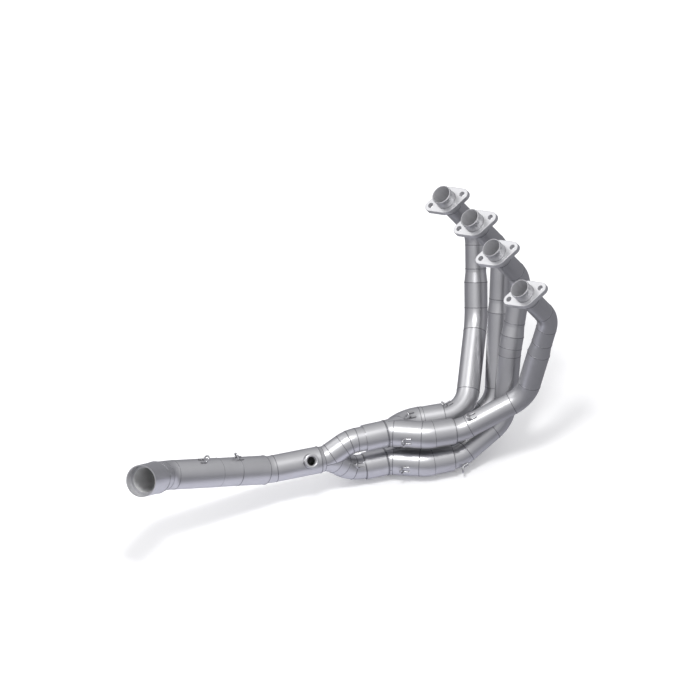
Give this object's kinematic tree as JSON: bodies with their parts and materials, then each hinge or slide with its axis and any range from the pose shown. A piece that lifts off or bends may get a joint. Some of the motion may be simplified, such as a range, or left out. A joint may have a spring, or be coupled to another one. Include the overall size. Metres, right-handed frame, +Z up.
{
  "type": "motorcycle exhaust header with catalyst-free link pipe",
  "caption": "Header for an inline engine: pipes with port flanges run down and back, merge in pairs, then in a Y with a sensor boss and a link pipe to the silencer.",
  "frame": {"origin": "centre of the mating face of the flange at the bike's right side, port 4", "axes": "+X to the front of the bike, +Y to its left, +Z up"},
  "size_m": [0.8551, 0.351, 0.4153],
  "materials": {
    "flange_plate": "pale satin, machined from plate",
    "turned_steel": "satin, turned",
    "bent_tube": "satin, brushed round the tube",
    "sleeve_tube": "satin, brushed round the tube",
    "merge_shell": "satin, brushed along the shell",
    "hook_wire": "satin bent wire"
  },
  "bodies": {
    "root": {"flange_1": "flange_plate", "flange_2": "flange_plate", "flange_3": "flange_plate", "flange_4": "flange_plate", "head_pipe_1": "bent_tube", "head_pipe_2": "bent_tube", "head_pipe_3": "bent_tube", "head_pipe_4": "bent_tube", "leg_hook": "hook_wire", "link_hook_front": "hook_wire", "link_hook_rear": "hook_wire", "link_pipe": "bent_tube", "link_sleeve": "sleeve_tube", "link_spigot": "turned_steel", "lower_leg": "bent_tube", "lower_merge": "merge_shell", "lower_outlet_sleeve": "sleeve_tube", "merge_hook_1": "hook_wire", "merge_hook_2": "hook_wire", "merge_hook_3": "hook_wire", "merge_hook_4": "hook_wire", "outlet_bend": "bent_tube", "outlet_pipe": "bent_tube", "pipe_hook_1": "hook_wire", "pipe_hook_2": "hook_wire", "pipe_hook_3": "hook_wire", "pipe_hook_4": "hook_wire", "port_spigot_1": "turned_steel", "port_spigot_2": "turned_steel", "port_spigot_3": "turned_steel", "port_spigot_4": "turned_steel", "primary_pipe_1": "bent_tube", "primary_pipe_2": "bent_tube", "primary_pipe_3": "bent_tube", "primary_pipe_4": "bent_tube", "reducer_1": "turned_steel", "reducer_2": "turned_steel", "reducer_3": "turned_steel", "reducer_4": "turned_steel", "seat_ring": "turned_steel", "sensor_boss": "turned_steel", "silencer_socket": "sleeve_tube", "slip_sleeve_1": "sleeve_tube", "slip_sleeve_2": "sleeve_tube", "slip_sleeve_3": "sleeve_tube", "slip_sleeve_4": "sleeve_tube", "upper_leg": "bent_tube", "upper_merge": "merge_shell", "upper_outlet_sleeve": "sleeve_tube", "y_piece": "merge_shell"}
  },
  "joints": []
}
